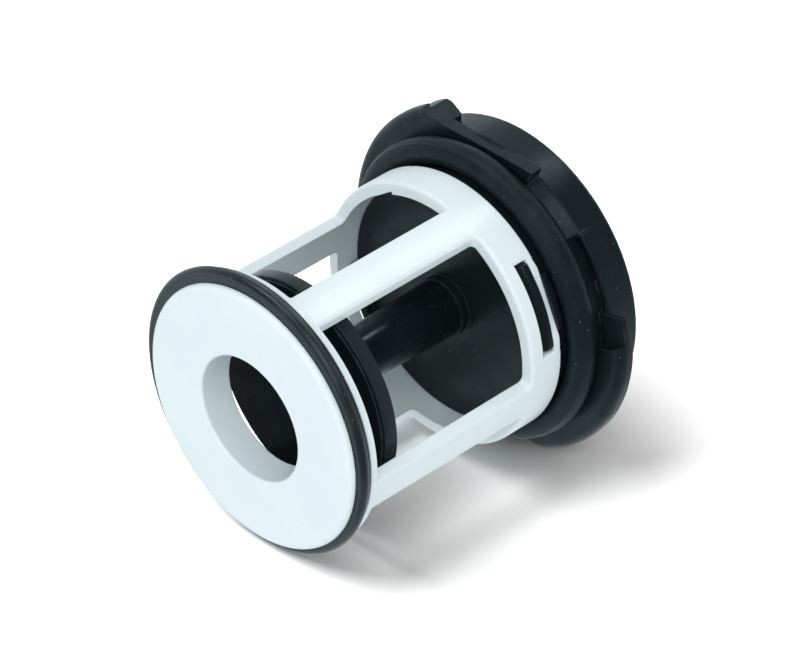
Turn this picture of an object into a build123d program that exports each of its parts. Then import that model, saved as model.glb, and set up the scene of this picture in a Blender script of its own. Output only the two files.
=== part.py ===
import os
from math import cos, degrees, hypot, radians, sin

from build123d import *

# Drain filter standing on the rim of its cap. +Z is the filter's axis, from the cap up to the
# white front plate. +X looks through a cage window whose ring has a snap slot. Millimetres.

# Bayonet cap
drum_radius = 33.85
drum_height = 8.1
drum_rim_round = 1.0
dish_wall = 3.05  # wall of the drum at its rim, where the recess flares out
dish_depth = 5.0
shoulder = 1.85  # step in from the drum to the land under the gasket
lug_reach = 4.85  # beyond the drum
lug_rise = 2.3  # front of the lug plate above the drum's shoulder
lug_thickness = 3.7
plate_thickness = 3.0  # lug plate beside the flat, and the flange past it
thick_start = 92.0  # degrees round the axis, where the plate steps up to the lug's thickness
lug_tip = 165.5
lead_in_depth = 1.45  # lowered tip of a lug
lead_in_wall = 13.9  # from the axis to the wall that ends the lowered tip
tip_ramp_length = 9.7
tip_ramp_rise = 1.4
lug_edge_round = 2.2
flat_direction = 61.7  # the flat side of the lug plate faces this way
flat_inset = 0.45  # inside the drum's radius
flange_reach = 1.95  # corner of the plate past the flat, beyond the drum
flange_end = 40.3
stop_offset = 11.9  # along the flat, from its middle to the stop block behind the lug
stop_width = 9.6
stop_depth = 4.5  # behind the lug plate
stop_slope_width = 4.8
stop_slope_depth = 1.9
stop_recess = 0.65  # inside the lug's radius
stop_round = 0.9
neck_step = 1.5  # neck radius over the cage's bore
neck_wall = 2.7
collar_angle = 24.0  # raised part of the neck, seen under the flat of the cage's ring
collar_height = 1.8
collar_inset = 0.2  # inside the ring's outer face
collar_round = 0.6
rim_wall = 0.9  # left outside the cored pocket
core_width = 1.45
core_depth = 3.0
core_start = -2.5
core_end = 15.0
slit_width = 0.65  # narrow groove that carries the pocket on round the rim
slit_depth = 1.2
slit_start = -14.5
bank_foot = 0.35  # inside the drum's radius, where the sloping bank beside the flange ends
mark_width = 0.7
mark_height = 0.35
mark_length = 2.8
plug_rise = 2.9  # plug face above the cage's seat
plug_floor = 3.0
plug_edge_round = 0.4
boss_radius = 6.6
boss_rise = 2.3
boss_wall = 2.6
grip_thickness = 9.0
grip_taper = 1.5
grip_drop = 0.6  # grip below the cap's rim
grip_edge_round = 1.2

# Rubber gasket on the cap's neck
gasket_cord = 5.6
gasket_clearance = 0.1

# Cage
cage_seat = 7.7  # cage ring above the lug plate
cage_bore = 26.7
ring_height = 8.3
ring_wall = 2.85
strut_wall = 2.65
strut_width = 8.5
strut_half_angle = 43.0  # struts stand this far either side of the X axis
window_height = 43.5
window_round = 1.2
window_edge_round = 0.8  # outer edges of the ring and struts round a window
band_height = 1.8
band_wall = 3.15
groove_width = 3.4
groove_wall = 0.8
lip_height = 1.4
lip_wall = 2.3
lip_round = 1.3
cup_step = 1.4  # cup behind the front plate, inside the cage's bore
face_thickness = 2.4
mouth_radius = 13.8
mouth_depth = 7.8
mouth_wall = 2.0
mouth_round = 0.6
edge_round = 0.35
snap_direction = -3.0  # middle of a snap slot
slot_angle = 40.0
slot_run_out = 1.6  # degrees of ramp at each end of a slot
slot_bottom = 1.65  # above the cage's seat
slot_height = 3.4
ring_flat_angle = 32.0  # flat of the ring below a slot
key_depth = 0.7
key_start = -2.5  # degrees from a key's direction to its deep end, and on to where it runs out
key_end = 6.5
nick_size = 0.9

# Snap tabs of the cap
tab_wall = 1.8
tab_inset = 0.25  # nose of a tab inside the ring's outer face
tab_land = 1.3
tab_lead = 1.7
tab_nose_round = 0.8
tab_end_round = 1.2
snap_clearance = 0.15
plug_clearance = 0.2

# Rubber ring of the front groove
seal_clearance = 0.1
seal_slack = 0.6  # the ring hangs this far off the axis
seal_slack_direction = 97.5
front_bead = 1.15
rear_bead = 0.9
front_bead_proud = 1.55  # beyond the cage's band
rear_bead_proud = 0.95

# Baffle
baffle_inset = 0.5  # inside the cage's cup
baffle_thickness = 3.9
baffle_gap = 5.1  # from the end of the inner tube to the baffle
baffle_round = 0.4
baffle_ledge = 0.6  # lower border round the baffle's face
baffle_step = 0.4
ledge_round = 0.15
stem_tip_radius = 5.4
stem_root_radius = 6.3
stem_round = 0.8
spigot_radius = 4.6
spigot_length = 9.0
spigot_clearance = 0.05

# Levels along the axis
lug_top = drum_height + lug_rise
lug_bottom = lug_top - lug_thickness
plate_bottom = lug_top - plate_thickness
cage_bottom = lug_top + cage_seat
ring_top = cage_bottom + ring_height
window_top = ring_top + window_height
groove_bottom = window_top + band_height
groove_top = groove_bottom + groove_width
front_face = groove_top + lip_height
mouth_end = front_face - mouth_depth
plug_top = cage_bottom + plug_rise
boss_top = plug_top + boss_rise
baffle_top = mouth_end - baffle_gap
baffle_bottom = baffle_top - baffle_thickness
slot_floor = cage_bottom + slot_bottom
slot_ceiling = slot_floor + slot_height

# Radii that follow
lug_radius = drum_radius + lug_reach
stop_radius = lug_radius - stop_recess
flange_radius = drum_radius + flange_reach
flat_distance = drum_radius - flat_inset
land_radius = drum_radius - shoulder
dish_radius = drum_radius - dish_wall
ring_radius = cage_bore + ring_wall
strut_radius = cage_bore + strut_wall
band_radius = cage_bore + band_wall
groove_radius = cage_bore + groove_wall
lip_radius = cage_bore + lip_wall
cup_radius = cage_bore - cup_step
baffle_radius = cup_radius - baffle_inset
plug_radius = cage_bore - plug_clearance
tab_radius = ring_radius - tab_inset
collar_radius = ring_radius - collar_inset
neck_radius = cage_bore + neck_step
recess_radius = neck_radius - neck_wall

# Helpers of the modelling, not sizes of the part
past = 5.0  # how far a cutter runs past what it cuts
overlap = 1.0  # how far a joined form reaches into its neighbour
tolerance = 0.01  # for finding an edge by its place
quarter_turn = 90
half_turn = (0, 180)


def drum(radius, bottom, top):
    """Solid cylinder on the axis between two levels."""
    return Pos(0, 0, bottom) * Cylinder(radius, top - bottom, align=(Align.CENTER, Align.CENTER, Align.MIN))


def at_angle(radius, angle):
    """Point in plan at a radius and a direction in degrees."""
    return (radius * cos(radians(angle)), radius * sin(radians(angle)))


def sector(radius, start, end, bottom, top):
    """Slice of a cylinder between two directions, in degrees."""
    reach = 2 * radius / cos(radians((end - start) / 4))
    middle = (start + end) / 2
    corners = [(0, 0)] + [at_angle(reach, angle) for angle in (start, middle, end)]
    slice_face = make_face(Polyline(*corners, close=True))
    return drum(radius, bottom, top) & Pos(0, 0, bottom) * extrude(slice_face, top - bottom)


def circle_edges(part, radius, height):
    """Full or part circles of one radius at one level."""
    return [
        edge
        for edge in part.edges().filter_by(GeomType.CIRCLE)
        if abs(edge.radius - radius) < tolerance and abs(edge.arc_center.Z - height) < tolerance
    ]


def beyond_flat(direction, distance, width, bottom, top):
    """Block outside a flat that faces one direction, for cutting the flat."""
    block = Box(lug_radius, width, top - bottom, align=(Align.MIN, Align.CENTER, Align.MIN))
    return Rot(0, 0, direction) * Pos(distance, 0, bottom) * block


def cage_body():
    """Turned form of the cage: ring and strut wall in one draft, seal groove, front plate, inner tube."""
    mouth_outer = mouth_radius + mouth_wall
    face_bottom = front_face - face_thickness
    outline = Polyline(
        (cage_bore, cage_bottom),
        (ring_radius, cage_bottom),
        (strut_radius, groove_bottom),
        (groove_radius, groove_bottom),
        (groove_radius, groove_top),
        (lip_radius, groove_top),
        (lip_radius, front_face),
        (mouth_radius, front_face),
        (mouth_radius, mouth_end),
        (mouth_outer, mouth_end),
        (mouth_outer, face_bottom),
        (cup_radius, face_bottom),
        (cup_radius, window_top),
        (cage_bore, window_top),
        close=True,
    )
    body = revolve(Plane.XZ * make_face(outline), Axis.Z)
    body = fillet(circle_edges(body, lip_radius, front_face), lip_round)
    body = fillet(circle_edges(body, mouth_radius, front_face), mouth_round)
    soft = circle_edges(body, ring_radius, cage_bottom) + circle_edges(body, mouth_radius, mouth_end)
    return fillet(soft, edge_round)


def cage_band():
    """Raised band that closes the windows and backs the seal's groove."""
    band = drum(band_radius, window_top, groove_bottom)
    soft = circle_edges(band, band_radius, window_top) + circle_edges(band, band_radius, groove_bottom)
    return fillet(soft, edge_round) - drum(cup_radius, window_top - past, groove_bottom + past)


def window_cutter(direction, half_angle):
    """Opening between two struts whose side faces are parallel to their own middle lines."""
    apex = strut_width / 2 / sin(radians(half_angle))
    reach = 2 * band_radius
    far = (apex + reach * cos(radians(half_angle)), reach * sin(radians(half_angle)))
    outline = make_face(Polyline((apex, 0), far, (far[0], -far[1]), close=True))
    block = Pos(0, 0, ring_top) * extrude(outline, window_height)
    faces = block.faces().sort_by(Axis.Z)
    ends = faces[0].edges() + faces[-1].edges()
    corners = [edge for edge in ends if edge.center().X < far[0] - tolerance]
    block = fillet(corners, window_round) - drum(cup_radius - past, 0, front_face)
    return Rot(0, 0, direction) * block


def window_edges(cage):
    """Outer edges round the windows, before anything else is cut into the wall."""
    found = []
    for edge in cage.edges():
        middle = edge.center()
        outside = hypot(middle.X, middle.Y) > strut_radius - strut_wall / 4
        if outside and ring_top - tolerance < middle.Z < window_top + tolerance:
            found.append(edge)
    return found


def snap_slot(direction):
    """Slot for a snap tab: a through window, ramps at its ends and a flat down to the seat."""
    ramp_distance = ring_radius * cos(radians(slot_angle / 2 + slot_run_out))
    flat_depth = ring_radius * cos(radians(ring_flat_angle / 2))
    ramps = beyond_flat(direction, ramp_distance, 2 * ring_radius, slot_floor, slot_ceiling)
    flat = beyond_flat(direction, flat_depth, 2 * ring_radius, cage_bottom - past, slot_floor)
    start = direction - slot_angle / 2
    through = sector(band_radius, start, start + slot_angle, slot_floor, slot_ceiling)
    through -= drum(cup_radius - past, slot_floor - past, slot_ceiling + past)
    return ramps + flat + through


def key_wedge(inset, bottom, top):
    """Wedge just outside the cage's bore that runs out along it, smaller by the inset all round."""
    start = key_start + degrees(inset / cage_bore)
    end = key_end - degrees(inset / cage_bore)
    inner = plug_radius - overlap
    outline = Polyline(
        at_angle(inner, start),
        at_angle(cage_bore + key_depth - inset, start),
        at_angle(cage_bore - inset, end),
        at_angle(inner, end),
        close=True,
    )
    return Pos(0, 0, bottom) * extrude(make_face(outline), top - bottom)


def keyway(direction):
    """Groove in the ring's bore, with a nick at the outer edge beside the gasket."""
    nick = Pos(ring_radius, 0, cage_bottom) * Rot(quarter_turn / 2, 0, 0) * Box(nick_size, nick_size, nick_size)
    return Rot(0, 0, direction) * (key_wedge(0, cage_bottom - past, ring_top + past) + nick)


def filter_cage():
    cage = cage_body()
    for direction, half_angle in ((0, strut_half_angle), (quarter_turn, quarter_turn - strut_half_angle)):
        for turn in half_turn:
            cage -= window_cutter(direction + turn, half_angle)
    cage = fillet(window_edges(cage), window_edge_round) + cage_band()
    for turn in half_turn:
        cage -= snap_slot(snap_direction + turn)
        cage -= keyway(snap_direction + quarter_turn + turn)
    return cage


def front_seal():
    """Rubber ring with two beads that hangs in the groove behind the front lip."""
    inner = groove_radius + seal_clearance + seal_slack
    top = groove_top - seal_clearance
    bottom = groove_bottom + seal_clearance
    front_line = band_radius + front_bead_proud - front_bead
    rear_line = band_radius + rear_bead_proud - rear_bead
    body = Pos((inner + rear_line) / 2, (top + bottom) / 2) * Rectangle(rear_line - inner, top - bottom)
    front = Pos(front_line, top - front_bead) * Circle(front_bead)
    rear = Pos(rear_line, bottom + rear_bead) * Circle(rear_bead)
    ring = revolve(Plane.XZ * (body + front + rear), Axis.Z)
    return Pos(*at_angle(seal_slack, seal_slack_direction), 0) * ring


def baffle():
    """Disc behind the cage's mouth, on a tapered stem with a spigot for the cap."""
    disc = drum(baffle_radius, baffle_bottom, baffle_top - baffle_step)
    disc = fillet(circle_edges(disc, baffle_radius, baffle_bottom), baffle_round)
    disc = fillet(circle_edges(disc, baffle_radius, baffle_top - baffle_step), baffle_round)
    face_radius = baffle_radius - baffle_ledge
    face = drum(face_radius, baffle_bottom + baffle_round, baffle_top)
    disc += fillet(circle_edges(face, face_radius, baffle_top), ledge_round)
    length = baffle_bottom - boss_top
    stem = Cone(stem_root_radius, stem_tip_radius, length, align=(Align.CENTER, Align.CENTER, Align.MIN))
    piece = disc + Pos(0, 0, boss_top) * stem
    piece = fillet(circle_edges(piece, stem_tip_radius, baffle_bottom), stem_round)
    return piece + drum(spigot_radius, boss_top - spigot_length, boss_top)


def tip_ramp():
    """Wedge that thins the back of a lug towards its tip."""
    slope = tip_ramp_rise / tip_ramp_length
    outline = Polyline(
        (-tip_ramp_length, lug_bottom - past),
        (-tip_ramp_length, lug_bottom),
        (past, lug_bottom + tip_ramp_rise + slope * past),
        (past, lug_bottom - past),
        close=True,
    )
    return Rot(0, 0, lug_tip) * extrude(Plane.YZ * make_face(outline), lug_radius + past)


def lug_plate(turn):
    """One lug with the flat that ends it and the flange corner past the flat."""
    lug = sector(lug_radius, thick_start, lug_tip, lug_bottom, lug_top)
    lug += sector(lug_radius, flat_direction, thick_start, plate_bottom, lug_top)
    lug -= tip_ramp()
    flange = sector(flange_radius, flange_end, flat_direction + overlap, plate_bottom, lug_top)
    plate = lug + flange
    plate -= beyond_flat(flat_direction, flat_distance, 2 * lug_radius, lug_bottom - past, lug_top + past)
    plate = fillet(circle_edges(plate, lug_radius, lug_top), lug_edge_round)
    lowered = Box(
        lug_radius + past, lead_in_wall, lead_in_depth + past, align=(Align.MAX, Align.MIN, Align.MIN)
    )
    plate -= Rot(0, 0, snap_direction) * Pos(0, 0, lug_top - lead_in_depth) * lowered
    plate += sector(land_radius, flange_end, lug_tip, plate_bottom, lug_top)
    return Rot(0, 0, turn) * (plate - drum(neck_radius - neck_wall / 2, 0, front_face))


def stop_block(turn):
    """Block behind the end of a lug that stops the cap's turn, flush with the flat."""
    back = plate_bottom - stop_depth
    end = stop_offset + stop_width
    outline = Polyline(
        (stop_offset, plate_bottom + overlap),
        (stop_offset, back + stop_slope_depth),
        (stop_offset + stop_slope_width, back),
        (end, back),
        (end, plate_bottom + overlap),
        close=True,
    )
    block = extrude(Plane.YZ * make_face(outline), flat_distance)
    block = fillet(block.edges().filter_by(Axis.X).sort_by(Axis.Z)[:3], stop_round)
    block &= drum(stop_radius, 0, lug_top)
    return Rot(0, 0, flat_direction + turn) * (block - drum(drum_radius - overlap, 0, lug_top + past))


def rim_pocket(turn):
    """Cored pocket in the front of the drum's rim and the narrow groove that carries it on."""
    outer = drum_radius - rim_wall
    pocket = sector(outer, core_start, core_end, drum_height - core_depth, lug_top + past)
    pocket -= drum(outer - core_width, 0, front_face)
    slit = sector(outer, slit_start, core_start + overlap, drum_height - slit_depth, drum_height + past)
    slit -= drum(outer - slit_width, 0, front_face)
    return Rot(0, 0, turn) * (pocket + slit)


def bank(turn):
    """Slope from the land down to the drum's shoulder, between the flange and the rim's pocket."""
    slope = Cone(
        drum_radius - bank_foot,
        land_radius,
        lug_top - drum_height,
        align=(Align.CENTER, Align.CENTER, Align.MIN),
    )
    zone = sector(drum_radius, core_end + mark_width, flange_end + overlap, drum_height, lug_top)
    zone -= drum(land_radius - overlap, drum_height - past, lug_top + past)
    return Rot(0, 0, turn) * (Pos(0, 0, drum_height) * slope & zone)


def neck_collar(turn):
    """Raised part of the neck that fills the gap under the flat of the cage's ring."""
    start = snap_direction - collar_angle / 2
    bottom = cage_bottom - collar_height
    collar = sector(collar_radius, start, start + collar_angle, bottom, cage_bottom)
    collar -= drum(neck_radius - neck_wall / 2, 0, front_face)
    return Rot(0, 0, turn) * fillet(circle_edges(collar, collar_radius, bottom), collar_round)


def position_mark(turn):
    """Fine raised line across the drum's shoulder and down its side."""
    top = drum_height + mark_height
    line = Box(
        drum_radius + mark_height - land_radius + overlap,
        mark_width,
        mark_length + mark_height,
        align=(Align.MAX, Align.CENTER, Align.MAX),
    )
    return Rot(0, 0, core_end + turn) * Pos(drum_radius + mark_height, 0, top) * line


def snap_tab(direction):
    """Curved wall on the plug with a wedge that catches in a slot of the cage."""
    angle = slot_angle - 2 * degrees(snap_clearance / cage_bore)
    catch = slot_floor + snap_clearance
    outline = Polyline(
        (plug_radius - tab_wall, plug_top - plug_floor / 2),
        (plug_radius - tab_wall, catch + tab_land + tab_lead),
        (plug_radius, catch + tab_land + tab_lead),
        (tab_radius, catch + tab_land),
        (tab_radius, catch),
        (plug_radius - tab_wall / 2, catch),
        (plug_radius - tab_wall / 2, plug_top - plug_floor / 2),
        close=True,
    )
    tab = revolve(Plane.XZ * make_face(outline), Axis.Z, angle)
    ends = tab.edges().filter_by(Axis.Z).sort_by(SortBy.DISTANCE)[-2:]
    tab = fillet(ends, tab_end_round)
    tab = fillet(circle_edges(tab, tab_radius, catch + tab_land), tab_nose_round)
    return Rot(0, 0, direction - angle / 2) * tab


def recess():
    """Hollow of the cap's outer side: a flared mouth and the bore of the neck."""
    floor = plug_top - plug_floor
    flare = Cone(dish_radius, recess_radius, dish_depth, align=(Align.CENTER, Align.CENTER, Align.MIN))
    return drum(recess_radius, 0, floor) + flare


def grip():
    """Bar across the recess to turn the cap by hand, with a thicker middle that takes the spigot."""
    floor = plug_top - plug_floor
    root = Pos(0, 0, floor) * Rectangle(2 * drum_radius, grip_thickness)
    bar = extrude(root, floor - grip_drop, dir=(0, 0, -1), taper=grip_taper)
    bar = fillet(bar.faces().sort_by(Axis.Z)[0].edges().filter_by(Axis.X), grip_edge_round)
    socket = boss_top - spigot_length - boss_wall
    return (bar & recess()) + drum(spigot_radius + boss_wall, socket, plug_top)


def cap():
    body = drum(drum_radius, 0, drum_height)
    body = fillet(circle_edges(body, drum_radius, 0), drum_rim_round)
    body = fillet(circle_edges(body, drum_radius, drum_height), edge_round)
    body += drum(land_radius, drum_height, lug_top)
    body += drum(neck_radius, lug_top, cage_bottom)
    plug = drum(plug_radius, cage_bottom, plug_top)
    body += fillet(circle_edges(plug, plug_radius, plug_top), plug_edge_round)
    boss = drum(boss_radius, plug_top - overlap, boss_top)
    body += fillet(circle_edges(boss, boss_radius, boss_top), edge_round)
    body -= recess()
    body += grip()
    for turn in half_turn:
        body += lug_plate(turn)
        body += bank(turn)
        body += neck_collar(turn)
        body += stop_block(turn)
        body -= rim_pocket(turn)
        body += position_mark(turn)
        body += snap_tab(snap_direction + turn)
        key = key_wedge(plug_clearance, cage_bottom, plug_top)
        body += Rot(0, 0, snap_direction + quarter_turn + turn) * key
    socket = boss_top - spigot_length - spigot_clearance
    return body - drum(spigot_radius + spigot_clearance, socket, boss_top + past)


def cap_gasket():
    """Round rubber cord on the neck, resting on the lug plate."""
    cord = gasket_cord / 2
    ring = Torus(neck_radius + gasket_clearance + cord, cord)
    return Pos(0, 0, lug_top + gasket_clearance + cord) * ring


os.makedirs("parts", exist_ok=True)
for make_piece in (filter_cage, front_seal, baffle, cap, cap_gasket):
    export_step(make_piece(), f"parts/{make_piece.__name__}.step")
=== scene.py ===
import math

import bpy
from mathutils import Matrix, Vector


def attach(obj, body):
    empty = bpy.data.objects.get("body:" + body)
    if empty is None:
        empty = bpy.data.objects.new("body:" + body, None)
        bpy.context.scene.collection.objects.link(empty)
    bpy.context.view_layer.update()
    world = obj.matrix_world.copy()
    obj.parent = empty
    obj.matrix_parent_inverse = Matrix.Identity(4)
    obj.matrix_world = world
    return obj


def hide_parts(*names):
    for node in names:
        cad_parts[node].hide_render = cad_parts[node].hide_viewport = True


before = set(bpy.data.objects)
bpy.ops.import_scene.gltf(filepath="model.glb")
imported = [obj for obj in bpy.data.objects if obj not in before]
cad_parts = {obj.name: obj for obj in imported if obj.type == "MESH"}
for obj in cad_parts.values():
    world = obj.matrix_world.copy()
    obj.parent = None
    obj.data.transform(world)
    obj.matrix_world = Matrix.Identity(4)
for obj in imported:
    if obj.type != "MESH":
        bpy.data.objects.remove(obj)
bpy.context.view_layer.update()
print("frame loaded with", len(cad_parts), "pieces")

dotCore = 0.6  # share of a speck's radius that has its full colour
shareStep = 0.02  # how sharply a cell is chosen to hold a speck
edgeTurn = (0.01, 0.10)  # how far a softened surface turns from an edge's start to its middle
edgeSamples = 6


class Wire:
    # a socket that can stand in a plain sum

    def __init__(self, graph, socket):
        self.graph = graph
        self.socket = socket

    def __add__(self, other):
        return self.graph.maths("ADD", self, other)

    def __radd__(self, other):
        return self.graph.maths("ADD", other, self)

    def __sub__(self, other):
        return self.graph.maths("SUBTRACT", self, other)

    def __rsub__(self, other):
        return self.graph.maths("SUBTRACT", other, self)

    def __mul__(self, other):
        return self.graph.maths("MULTIPLY", self, other)

    def __rmul__(self, other):
        return self.graph.maths("MULTIPLY", other, self)


class Graph:
    # a node tree, filled node by node

    def __init__(self, tree):
        self.tree = tree

    def node(self, kind, settings=None, inputs=None, output=0):
        made = self.tree.nodes.new(kind)
        for key, value in (settings or {}).items():
            setattr(made, key, value)
        for key, value in (inputs or {}).items():
            self.feed(made.inputs[key], value)
        return Wire(self, made.outputs[output])

    def feed(self, socket, value):
        if isinstance(value, Wire):
            self.tree.links.new(value.socket, socket)
        else:
            socket.default_value = value

    def maths(self, operation, *values):
        return self.node("ShaderNodeMath", {"operation": operation}, dict(enumerate(values)))

    def step(self, value, low, high):
        # 0 below low and 1 above high, smooth between them
        settings = {"interpolation_type": "SMOOTHSTEP"}
        inputs = {
            "Value": value,
            "From Min": low,
            "From Max": high,
            "To Min": 0.0,
            "To Max": 1.0,
        }
        return self.node("ShaderNodeMapRange", settings, inputs)

    def along(self, first, second):
        # how far two directions agree, 1 where they are the same
        settings = {"operation": "DOT_PRODUCT"}
        return self.node("ShaderNodeVectorMath", settings, {0: first, 1: second}, output="Value")

    def blend(self, factor, first, second):
        # from the first colour to the second
        settings = {"data_type": "RGBA"}
        inputs = {0: factor, 6: first, 7: second}
        return self.node("ShaderNodeMix", settings, inputs, output=2)


class Finish(Graph):
    # one material of the object

    def __init__(self, name):
        self.material = bpy.data.materials.new(name)
        self.material.use_nodes = True
        super().__init__(self.material.node_tree)
        self.shader = self.tree.nodes["Principled BSDF"]
        self.place = self.node("ShaderNodeTexCoord", output="Object")
        self.height = self.node("ShaderNodeSeparateXYZ", inputs={0: self.place}, output="Z")
        self.trueNormal = self.node("ShaderNodeNewGeometry", output="Normal")

    def noise(self, size, detail=2, roughness=0.5):
        # soft blotches about one size across, in metres
        inputs = {
            "Vector": self.place,
            "Scale": 1 / size,
            "Detail": detail,
            "Roughness": roughness,
        }
        return self.node("ShaderNodeTexNoise", inputs=inputs, output="Fac")

    def specks(self, spacing, radius, share):
        # small round dots, in a share of the cells of one spacing
        inputs = {"Vector": self.place, "Scale": 1 / spacing}
        cell = self.node("ShaderNodeTexVoronoi", inputs=inputs, output="Color")
        away = self.node("ShaderNodeTexVoronoi", inputs=inputs, output="Distance")
        chosen = self.node("ShaderNodeSeparateColor", inputs={0: cell}, output="Red")
        reach = radius / spacing
        dot = 1 - self.step(away, reach * dotCore, reach)
        return dot * self.step(chosen, 1 - share, 1 + shareStep - share)

    def line(self, value, middle, halfWidth):
        # 1 on a fine line where value meets middle
        return 1 - self.step(self.maths("ABSOLUTE", value - middle), 0.0, halfWidth)

    def relief(self, height, depth, normal=None):
        # bumps of that depth, in metres, on top of an earlier normal
        inputs = {"Height": height, "Strength": 1.0, "Distance": depth}
        if normal is not None:
            inputs["Normal"] = normal
        return self.node("ShaderNodeBump", inputs=inputs, output="Normal")

    def softEdges(self, radius):
        settings = {"samples": edgeSamples}
        return self.node("ShaderNodeBevel", settings, {"Radius": radius}, output="Normal")

    def edges(self, softNormal):
        # 1 where the softened surface turns away from the true one
        return self.step(1 - self.along(softNormal, self.trueNormal), *edgeTurn)

    def set(self, sockets):
        for key, value in sockets.items():
            self.feed(self.shader.inputs[key], value)

    def wearOn(self, nodeName):
        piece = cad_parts[nodeName]
        piece.data.materials.clear()
        piece.data.materials.append(self.material)


def tone(colour):
    return (*colour, 1)


# White cage: satin moulded plastic, a little cool, with faint flow clouds,
# handling scuffs in patches and a few dark specks
cagePlastic = {
    "colour": (0.785, 0.900, 0.932),
    "cloudColour": (0.755, 0.875, 0.915),
    "cloudSize": 0.014,
    "cloudRange": (0.35, 0.75),
    "patchSize": 0.0238,
    "patchRange": (0.52, 0.72),
    "scuffColour": (0.60, 0.70, 0.74),
    "scuffSize": 0.0035,
    "scuffRange": (0.60, 0.74),
    "scuffShare": 0.35,
    "scuffRoughness": 0.15,
    "speckColour": (0.40, 0.45, 0.46),
    "specks": {"spacing": 0.0016, "radius": 0.00016, "share": 0.03},
    "speckShare": 0.5,
    "grainSize": 0.00035,
    "grainDepth": 0.000012,
    "waveSize": 0.009,
    "waveDepth": 0.00006,
    "roughness": 0.36,
    "roughnessSpread": 0.12,
    "shine": 0.40,
    "edge": 0.00035,
}


def finishCage(settings):
    paint = Finish("whiteMouldedPlastic")
    cloud = paint.step(paint.noise(settings["cloudSize"], detail=3), *settings["cloudRange"])
    colour = paint.blend(cloud, tone(settings["colour"]), tone(settings["cloudColour"]))
    patches = paint.step(paint.noise(settings["patchSize"]), *settings["patchRange"])
    scratched = paint.noise(settings["scuffSize"], detail=6, roughness=0.7)
    scuffs = patches * paint.step(scratched, *settings["scuffRange"])
    colour = paint.blend(scuffs * settings["scuffShare"], colour, tone(settings["scuffColour"]))
    specks = paint.specks(**settings["specks"])
    colour = paint.blend(specks * settings["speckShare"], colour, tone(settings["speckColour"]))
    roughness = settings["roughness"] + (cloud - 0.5) * settings["roughnessSpread"]
    roughness = roughness + scuffs * settings["scuffRoughness"]
    grain = paint.noise(settings["grainSize"])
    wave = paint.noise(settings["waveSize"], detail=1)
    normal = paint.softEdges(settings["edge"])
    normal = paint.relief(wave, settings["waveDepth"], normal)
    normal = paint.relief(grain, settings["grainDepth"], normal)
    paint.set({"Base Color": colour, "Roughness": roughness, "Normal": normal})
    paint.set({"Specular IOR Level": settings["shine"]})
    return paint


# Black mouldings: spark-eroded satin with dust, pale specks and edges painted brighter, a
# painted highlight
capPlastic = {
    "name": "blackCapPlastic",
    "colour": (0.0080, 0.0128, 0.0148),
    "cloudSize": 0.011,
    "cloudRange": (0.3, 0.75),
    "dustColour": (0.020, 0.028, 0.032),
    "dustSize": 0.0022,
    "dustRange": (0.55, 0.80),
    "dustShare": 0.6,
    "dustRoughness": 0.12,
    "edgeHighlightColour": (0.065, 0.082, 0.088),
    "edgeHighlightSize": 0.004,
    "edgeHighlightRange": (0.42, 0.62),
    "edgeHighlightShare": 0.8,
    "edgeHighlightPolish": 0.08,
    "speckColour": (0.20, 0.24, 0.25),
    "specks": {"spacing": 0.0012, "radius": 0.00017, "share": 0.05},
    "speckShare": 0.7,
    "grainSize": 0.00045,
    "grainDepth": 0.00003,
    "waveSize": 0.014,
    "waveDepth": 0.00045,
    "roughness": 0.36,
    "roughnessSpread": 0.16,
    "shine": 0.24,
    "shineColour": (0.70, 0.92, 1.0),
    "edge": 0.0003,
}

# the baffle, glossier, with the side of its disc painted paler: painted light on its rim
bafflePlastic = {
    **capPlastic,
    "name": "blackBafflePlastic",
    "colour": (0.0062, 0.0100, 0.0120),
    "dustColour": (0.015, 0.022, 0.026),
    "litRimColour": (0.0200, 0.0275, 0.0310),
    "litRimHeight": (0.0560, 0.0570),  # it begins between these heights
    "litRimLevel": (0.4, 0.8),  # and ends where the surface lies this level
    "grainSize": 0.0005,
    "grainDepth": 0.000014,
    "roughness": 0.25,
    "roughnessSpread": 0.12,
    "shine": 0.18,
}

# the side of its disc that shows through the bore, matt, and painted a darker black as shade
shadedDiscFacePlastic = {
    **bafflePlastic,
    "name": "shadedBlackDiscFace",
    "colour": (0.0040, 0.0070, 0.0088),
    "dustColour": (0.008, 0.013, 0.016),
    "specks": {"spacing": 0.0016, "radius": 0.00014, "share": 0.03},
    "roughness": 0.45,
    "shine": 0.02,
}


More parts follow.
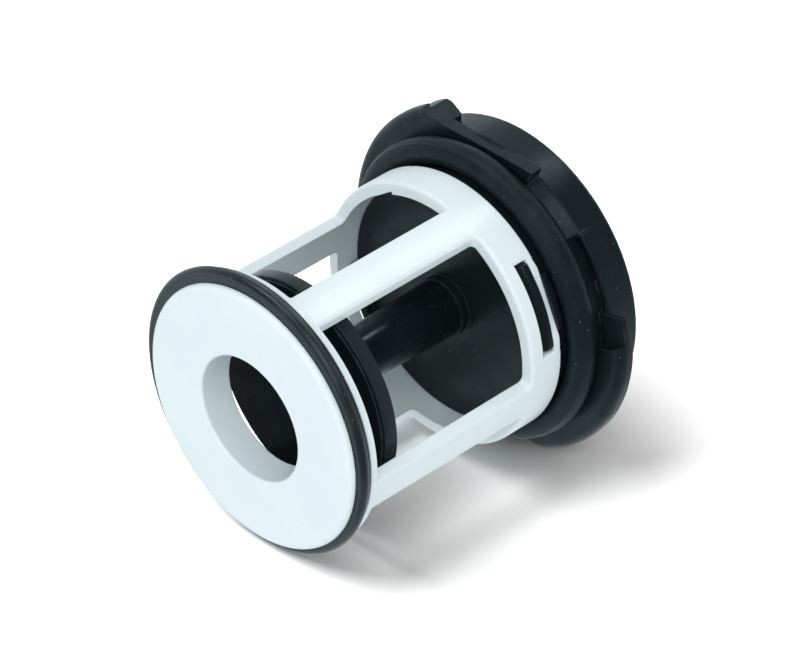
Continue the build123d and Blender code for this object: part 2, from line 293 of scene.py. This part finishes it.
def finishBlackPlastic(settings):
    paint = Finish(settings["name"])
    cloud = paint.step(paint.noise(settings["cloudSize"], detail=3), *settings["cloudRange"])
    dusty = paint.noise(settings["dustSize"], detail=5, roughness=0.65)
    dust = paint.step(dusty, *settings["dustRange"]) * cloud
    dustAmount = dust * settings["dustShare"]
    colour = paint.blend(dustAmount, tone(settings["colour"]), tone(settings["dustColour"]))
    # painted light: above a height, faces that look neither up nor down (the disc's side) are
    # painted paler, as if lit
    if "litRimColour" in settings:
        level = paint.maths("ABSOLUTE", paint.along(paint.trueNormal, (0, 0, 1)))
        litRim = paint.step(paint.height, *settings["litRimHeight"])
        litRim = litRim * (1 - paint.step(level, *settings["litRimLevel"]))
        colour = paint.blend(litRim, colour, tone(settings["litRimColour"]))
    normal = paint.softEdges(settings["edge"])
    # painted highlight: the edges are painted paler in noise patches, standing in for light
    # caught along them, and made a little glossier
    edgeHighlightPatches = paint.step(paint.noise(settings["edgeHighlightSize"], detail=3), *settings["edgeHighlightRange"])
    edgeHighlight = paint.edges(normal) * edgeHighlightPatches
    colour = paint.blend(edgeHighlight * settings["edgeHighlightShare"], colour, tone(settings["edgeHighlightColour"]))
    specks = paint.specks(**settings["specks"])
    colour = paint.blend(specks * settings["speckShare"], colour, tone(settings["speckColour"]))
    roughness = settings["roughness"] + (cloud - 0.5) * settings["roughnessSpread"]
    roughness = roughness + dust * settings["dustRoughness"] - edgeHighlight * settings["edgeHighlightPolish"]
    grain = paint.noise(settings["grainSize"], detail=3, roughness=0.6)
    wave = paint.noise(settings["waveSize"], detail=1)
    normal = paint.relief(wave, settings["waveDepth"], normal)
    normal = paint.relief(grain, settings["grainDepth"], normal)
    paint.set({"Base Color": colour, "Roughness": roughness, "Normal": normal})
    paint.set({"Specular IOR Level": settings["shine"]})
    paint.set({"Specular Tint": tone(settings["shineColour"])})
    return paint


# Rubber rings: black with a grey bloom, pale specks and the fine line where the mould closed
sealRubber = {
    "name": "blackSealRubber",
    "colour": (0.0130, 0.0190, 0.0210),
    "bloomColour": (0.030, 0.039, 0.042),
    "bloomSize": 0.006,
    "bloomRange": (0.40, 0.80),
    "bloomShare": 0.7,
    "speckColour": (0.17, 0.20, 0.21),
    "specks": {"spacing": 0.0012, "radius": 0.00018, "share": 0.08},
    "speckShare": 0.7,
    "seamHeight": 0.07395,
    "seamWidth": 0.00012,
    "seamDepth": 0.00008,
    "grainSize": 0.0006,
    "grainDepth": 0.00004,
    "roughness": 0.36,  # where the bloom is at its middle
    "bloomMiddle": 0.4,
    "roughnessSpread": 0.14,
    "shine": 0.50,
    "shineColour": (0.78, 0.95, 1.0),
}

gasketRubber = {
    **sealRubber,
    "name": "blackGasketRubber",
    "colour": (0.0085, 0.0145, 0.0170),
    "bloomColour": (0.019, 0.028, 0.031),
    "seamHeight": 0.01544,
    "seamWidth": 0.00030,
    "seamDepth": 0.00005,
    "roughness": 0.50,
    "shine": 0.20,
}


def finishRubber(settings):
    paint = Finish(settings["name"])
    cloudy = paint.noise(settings["bloomSize"], detail=4, roughness=0.6)
    bloom = paint.step(cloudy, *settings["bloomRange"])
    bloomAmount = bloom * settings["bloomShare"]
    colour = paint.blend(bloomAmount, tone(settings["colour"]), tone(settings["bloomColour"]))
    specks = paint.specks(**settings["specks"])
    colour = paint.blend(specks * settings["speckShare"], colour, tone(settings["speckColour"]))
    bloomOver = bloom - settings["bloomMiddle"]
    roughness = settings["roughness"] + bloomOver * settings["roughnessSpread"]
    seam = paint.line(paint.height, settings["seamHeight"], settings["seamWidth"])
    grain = paint.noise(settings["grainSize"], detail=3, roughness=0.6)
    normal = paint.relief(grain, settings["grainDepth"])
    normal = paint.relief(seam, settings["seamDepth"], normal)
    paint.set({"Base Color": colour, "Roughness": roughness, "Normal": normal})
    paint.set({"Specular IOR Level": settings["shine"]})
    paint.set({"Specular Tint": tone(settings["shineColour"])})
    return paint


finishCage(cagePlastic).wearOn("filter_cage")
finishBlackPlastic(capPlastic).wearOn("cap")
finishRubber(sealRubber).wearOn("front_seal")
print("finishes made")

# The baffle as it sits: its disc leans, and hangs lowest on the side away from the camera
baffleSettings = {
    "mergeGap": 0.0000005,
    "bendHeight": 0.0585,  # what is above this leans
    "lean": (0.57, -2.13),  # degrees about X and Y
    "drop": 0.00095,
    "smoothAngle": 30,  # degrees
    "faceLevel": 0.9,  # a face that looks up more than this is the disc's matt side
}


def makeBaffle(settings):
    bpy.ops.object.select_all(action="DESELECT")
    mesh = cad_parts["baffle"].data.copy()
    mesh.materials.clear()
    baffle = bpy.data.objects.new("baffleDisc", mesh)
    bpy.context.scene.collection.objects.link(baffle)
    bpy.context.view_layer.objects.active = baffle
    baffle.select_set(True)
    bpy.ops.mesh.customdata_custom_splitnormals_clear()
    bpy.ops.object.mode_set(mode="EDIT")
    bpy.ops.mesh.select_all(action="SELECT")
    bpy.ops.mesh.remove_doubles(threshold=settings["mergeGap"])
    bpy.ops.mesh.select_all(action="DESELECT")
    bpy.ops.object.mode_set(mode="OBJECT")
    bendHeight = settings["bendHeight"]
    for point in mesh.vertices:
        point.select = point.co.z > bendHeight
    bpy.ops.object.mode_set(mode="EDIT")
    for axis, angle in zip("XY", settings["lean"]):
        # with no window the operator turns the other way, hence the minus
        bpy.ops.transform.rotate(
            value=-math.radians(angle), orient_axis=axis, center_override=(0, 0, bendHeight)
        )
    bpy.ops.transform.translate(value=(0, 0, -settings["drop"]))
    bpy.ops.object.mode_set(mode="OBJECT")
    bpy.ops.object.shade_smooth_by_angle(angle=math.radians(settings["smoothAngle"]))
    # the second finish is a darker copy of the baffle's black: painted shade on the disc's face
    for finish in (bafflePlastic, shadedDiscFacePlastic):
        mesh.materials.append(finishBlackPlastic(finish).material)
    for face in mesh.polygons:
        onDisc = face.center.z > bendHeight and face.normal.z > settings["faceLevel"]
        face.material_index = int(onDisc)
    return baffle


baffleDisc = makeBaffle(baffleSettings)
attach(baffleDisc, "root")
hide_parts("baffle")
print("baffle made with", len(baffleDisc.data.polygons), "faces")

# The gasket as it sits: a fuller cord, flat where the neck stretches it, with the mould's seam
gasketSettings = {
    "middle": 0.0309,  # from the axis to the cord's middle
    "height": 0.01345,
    "radius": 0.00298,
    "innerRadius": 0.0284,  # the cord is flat here, on the neck
    "flatReach": 0.00001,  # how near to it a point counts as on the flat
    "flatCuts": 8,
    "sectionPoints": 56,
    "ringSteps": 240,
    "seamAngle": 42,  # degrees above the widest line
    "seamRise": 0.00007,
    "mergeGap": 0.000002,
    "unevenSize": 0.011,
    "unevenDepth": 0.00016,
    "unevenMiddle": 0.5,
    "smoothAngle": 40,  # degrees
}


def makeGasket(settings):
    middle = Vector((settings["middle"], 0, settings["height"]))
    bpy.ops.object.select_all(action="DESELECT")
    bpy.ops.mesh.primitive_circle_add(
        vertices=settings["sectionPoints"],
        radius=settings["radius"],
        location=middle,
        rotation=(math.pi / 2, 0, 0),
    )
    gasket = bpy.context.object
    gasket.name = "gasketRing"
    bpy.ops.object.transform_apply(location=True, rotation=True, scale=True)

    # the seam is one point of the section, drawn out a little
    seamAt = math.radians(settings["seamAngle"])
    seamWay = Vector((math.cos(seamAt), 0, math.sin(seamAt)))
    seamPlace = middle + seamWay * settings["radius"]
    points = gasket.data.vertices
    nearest = min(points, key=lambda point: (point.co - seamPlace).length)
    nearest.co += seamWay * settings["seamRise"]

    # the section is cut flat, and the cut closed and divided
    innerRadius = settings["innerRadius"]
    bpy.ops.object.mode_set(mode="EDIT")
    bpy.ops.mesh.select_all(action="SELECT")
    bpy.ops.mesh.bisect(plane_co=(innerRadius, 0, 0), plane_no=(1, 0, 0), clear_inner=True)
    bpy.ops.object.mode_set(mode="OBJECT")
    for point in gasket.data.vertices:
        point.select = point.co.x < innerRadius + settings["flatReach"]
    for edge in gasket.data.edges:
        edge.select = False
    bpy.ops.object.mode_set(mode="EDIT")
    bpy.ops.mesh.edge_face_add()
    bpy.ops.mesh.subdivide(number_cuts=settings["flatCuts"])

    bpy.ops.mesh.select_all(action="SELECT")
    bpy.ops.mesh.spin(
        steps=settings["ringSteps"], angle=math.tau, center=(0, 0, 0), axis=(0, 0, 1)
    )
    bpy.ops.mesh.select_all(action="SELECT")
    bpy.ops.mesh.remove_doubles(threshold=settings["mergeGap"])
    bpy.ops.mesh.normals_make_consistent(inside=False)
    bpy.ops.object.mode_set(mode="OBJECT")

    uneven = bpy.data.textures.new("gasketUneven", "CLOUDS")
    uneven.noise_scale = settings["unevenSize"]
    swell = gasket.modifiers.new("swell", "DISPLACE")
    swell.texture = uneven
    swell.texture_coords = "LOCAL"
    swell.strength = settings["unevenDepth"]
    swell.mid_level = settings["unevenMiddle"]
    bpy.ops.object.modifier_apply(modifier=swell.name)
    bpy.ops.object.shade_smooth_by_angle(angle=math.radians(settings["smoothAngle"]))
    return gasket


gasketRing = makeGasket(gasketSettings)
gasketRing.data.materials.append(finishRubber(gasketRubber).material)
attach(gasketRing, "root")
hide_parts("cap_gasket")
print("gasket made with", len(gasketRing.data.polygons), "faces")

# The part lies on its side, on the flat of the cap and the bead of the front ring
floorSettings = {
    "side": 61.7,  # degrees round the axis, the way the floor faces
    "capReach": 0.03385,  # from the axis to the floor, at the cap
    "capHeight": 0.0077,
    "noseReach": 0.0309,  # and at the front ring
    "noseHeight": 0.0739,
    "size": 0.8,
    "colour": (0.61, 0.61, 0.61),
}


def makeFloor(settings):
    turn = math.radians(settings["side"])
    sideways = Vector((math.cos(turn), math.sin(turn), 0))
    rise = settings["capReach"] - settings["noseReach"]
    slope = rise / (settings["noseHeight"] - settings["capHeight"])
    facing = (sideways - Vector((0, 0, slope))).normalized()
    touch = Vector((0, 0, settings["noseHeight"])) - sideways * settings["noseReach"]
    turned = facing.to_track_quat("Z", "Y").to_euler()
    bpy.ops.object.select_all(action="DESELECT")
    bpy.ops.mesh.primitive_plane_add(size=settings["size"], location=touch, rotation=turned)
    floor = bpy.context.object
    floor.name = "floor"
    bpy.ops.object.transform_apply(location=True, rotation=True, scale=True)

    # matt from above and clear from behind, so that it hides the part from no side
    paint = Finish("paleFloor")
    paint.set({"Base Color": tone(settings["colour"])})
    paint.set({"Roughness": 1.0, "Specular IOR Level": 0.0})
    lit = Wire(paint, paint.shader.outputs[0])
    clear = paint.node("ShaderNodeBsdfTransparent")
    behind = paint.node("ShaderNodeNewGeometry", output="Backfacing")
    shown = paint.node("ShaderNodeMixShader", inputs={0: behind, 1: lit, 2: clear})
    paint.feed(paint.tree.nodes["Material Output"].inputs["Surface"], shown)
    floor.data.materials.append(paint.material)
    floor.visible_diffuse = False
    floor.visible_glossy = False
    floor.visible_transmission = False
    floor.visible_shadow = False
    return floor


floor = makeFloor(floorSettings)
print("floor made")

# An even room for every side view: white where the camera looks past the part,
# and in reflections a cool white behind the part, darker on the camera's side
worldSettings = {
    "light": 0.81,
    "background": 1.0,
    "colour": (1.0, 1.0, 1.0),
    "shineColour": (0.86, 0.95, 1.0),
    "darkSide": (0.786, 0.248, 0.566),
    "darkRange": (-0.6, 0.4),
    "darkLight": 0.05,
}


def makeWorld(settings):
    world = bpy.data.worlds.new("studio")
    bpy.context.scene.world = world
    world.use_nodes = True
    room = Graph(world.node_tree)
    looks = room.node("ShaderNodeTexCoord", output="Generated")
    dark = room.step(room.along(looks, settings["darkSide"]), *settings["darkRange"])
    seesPlain = room.node("ShaderNodeLightPath", output="Is Camera Ray")
    seesThrough = room.node("ShaderNodeLightPath", output="Is Transmission Ray")
    seesShine = room.node("ShaderNodeLightPath", output="Is Glossy Ray")
    plain = room.maths("MAXIMUM", seesPlain, seesThrough)
    background = settings["background"]
    level = settings["light"] + plain * (background - settings["light"])
    shine = background - dark * (background - settings["darkLight"])
    level = level + seesShine * (shine - level)
    colour = room.blend(seesShine, tone(settings["colour"]), tone(settings["shineColour"]))
    sky = world.node_tree.nodes["Background"]
    room.feed(sky.inputs["Color"], colour)
    room.feed(sky.inputs["Strength"], level)


makeWorld(worldSettings)
print("room made")

# Two soft lamps on the part from the camera's side, two that only show in its gloss,
# and one broad lamp for the floor's shadow alone. A level is what the lamp adds to a
# white surface that faces it.
lampSettings = {
    "front": {
        "azimuth": 120,
        "elevation": 29,
        "distance": 1.2,
        "size": 0.6,
        "level": 0.19,
    },
    "above": {
        "azimuth": 112,
        "elevation": 67,
        "distance": 1.2,
        "size": 0.6,
        "level": 0.14,
    },
    "leftGloss": {
        "azimuth": 172,
        "elevation": 20,
        "distance": 1.2,
        "size": 0.7,
        "level": 0.3,
        "glossOnly": True,
    },
    "backGloss": {
        "azimuth": 155,
        "elevation": -34,
        "distance": 1.2,
        "size": 0.22,
        "level": 0.1,
        "glossOnly": True,
    },
    "floorLamp": {
        "azimuth": 172.5,
        "elevation": 22,
        "distance": 1.5,
        "size": 1.3,
        "level": 2.8,
        "only": floor,
    },
}
lampAim = Vector((0, 0, 0.038))  # the part's middle


def makeLamp(name, settings):
    around = math.radians(settings["azimuth"])
    above = math.radians(settings["elevation"])
    outward = Vector((math.sin(around), -math.cos(around), 0)) * math.cos(above)
    away = outward + Vector((0, 0, math.sin(above)))
    light = bpy.data.lights.new(name, "AREA")
    light.shape = "DISK"
    light.size = settings["size"]
    light.energy = settings["level"] * math.pi**2 * settings["distance"] ** 2
    lamp = bpy.data.objects.new(name, light)
    bpy.context.scene.collection.objects.link(lamp)
    lamp.location = lampAim + away * settings["distance"]
    lamp.rotation_euler = away.to_track_quat("Z", "Y").to_euler()
    lamp.visible_diffuse = not settings.get("glossOnly", False)
    if "only" in settings:
        reached = bpy.data.collections.new(name + "Reach")
        reached.objects.link(settings["only"])
        lamp.light_linking.receiver_collection = reached


for name, settings in lampSettings.items():
    makeLamp(name, settings)
print("lamps made")

# The photograph's own view, rolled because the part lies on its side there
cameraSettings = {
    "location": (0.66975686, 0.21117353, 0.51684844),
    "rotation": (-36.313735, 45.363420, -28.419901),  # degrees
    "lens": 188.915,
    "sensor": 36,
    "nearest": 0.01,
    "farthest": 10,
}


def makeCamera(settings):
    eye = bpy.data.cameras.new("camera")
    eye.lens = settings["lens"]
    eye.sensor_width = settings["sensor"]
    eye.clip_start = settings["nearest"]
    eye.clip_end = settings["farthest"]
    camera = bpy.data.objects.new("camera", eye)
    bpy.context.scene.collection.objects.link(camera)
    camera.location = settings["location"]
    camera.rotation_euler = [math.radians(angle) for angle in settings["rotation"]]
    bpy.context.scene.camera = camera


makeCamera(cameraSettings)
bpy.context.scene.view_settings.view_transform = "Standard"
print("camera made")
